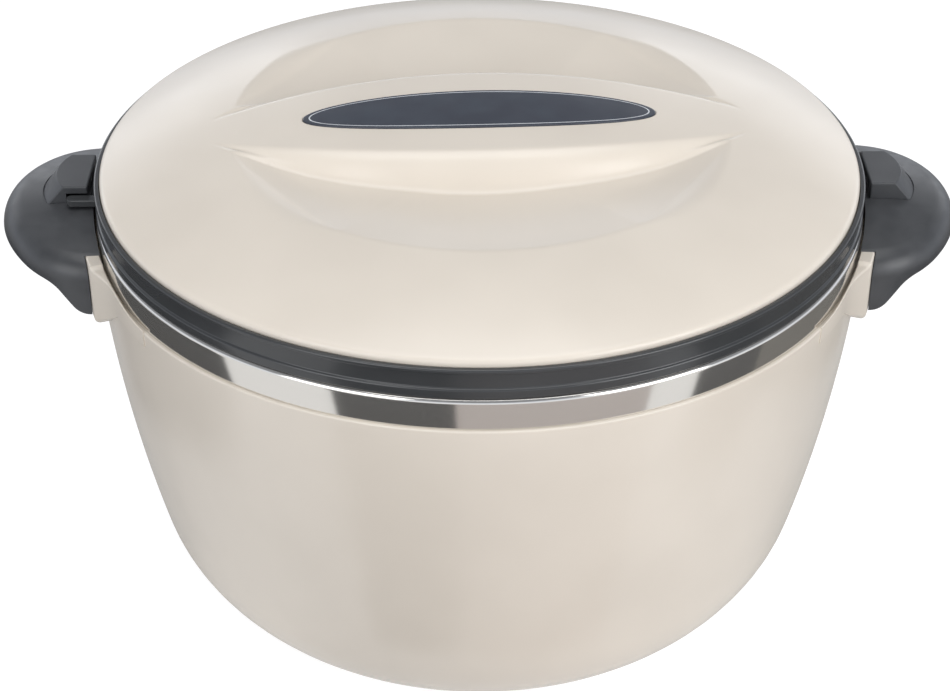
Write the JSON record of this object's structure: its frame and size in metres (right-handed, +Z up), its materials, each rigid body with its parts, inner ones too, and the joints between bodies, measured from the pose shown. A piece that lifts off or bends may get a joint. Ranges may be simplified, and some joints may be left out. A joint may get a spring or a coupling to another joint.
{
  "type": "insulated casserole",
  "caption": "Round double-walled insulated casserole with side handles and a lift-off twist-lock lid that has a grip bar between finger scoops.",
  "frame": {"origin": "on the table under the bowl's upright axis, at the foot ring's flat", "axes": "+Z up along the bowl's axis, +X through the right handle, -Y towards the viewer of the picture"},
  "size_m": [0.376, 0.303, 0.2143],
  "materials": {
    "cream_plastic": "glossy, cream",
    "polished_steel": "polished",
    "dark_plastic": "satin, charcoal",
    "grey_plastic": "glossy, dark grey",
    "badge_plastic": "slate blue with a thin white inset line",
    "seal_rubber": "soft, off-white",
    "foam": "rigid foam",
    "plug_plastic": "matt",
    "screw_steel": "bright"
  },
  "bodies": {
    "casserole": {"outer_shell": "cream_plastic", "inner_bowl": "polished_steel", "body_foam": "foam", "base_plug": "plug_plastic", "handle_left": "dark_plastic", "handle_right": "dark_plastic", "lock_hook_left": "dark_plastic", "lock_hook_right": "dark_plastic", "handle_screws_left": "screw_steel", "handle_screws_right": "screw_steel", "hook_screws_left": "screw_steel", "hook_screws_right": "screw_steel"},
    "seal": {"lid_seal": "seal_rubber"},
    "lid": {"lid_cover": "cream_plastic", "lid_ring": "grey_plastic", "lid_liner": "polished_steel", "lid_foam": "foam", "lid_plug": "plug_plastic", "badge": "badge_plastic"}
  },
  "joints": [
    {"name": "lid_lift", "type": "slide", "parent": "casserole", "child": "seal", "axis": [0, 0, 1], "range_m": [0, 0.16]},
    {"name": "lid_turn", "type": "hinge", "parent": "seal", "child": "lid", "pos_m": [0, 0, 0.1833], "axis": [0, 0, 1], "range_deg": [-7, 0]}
  ]
}
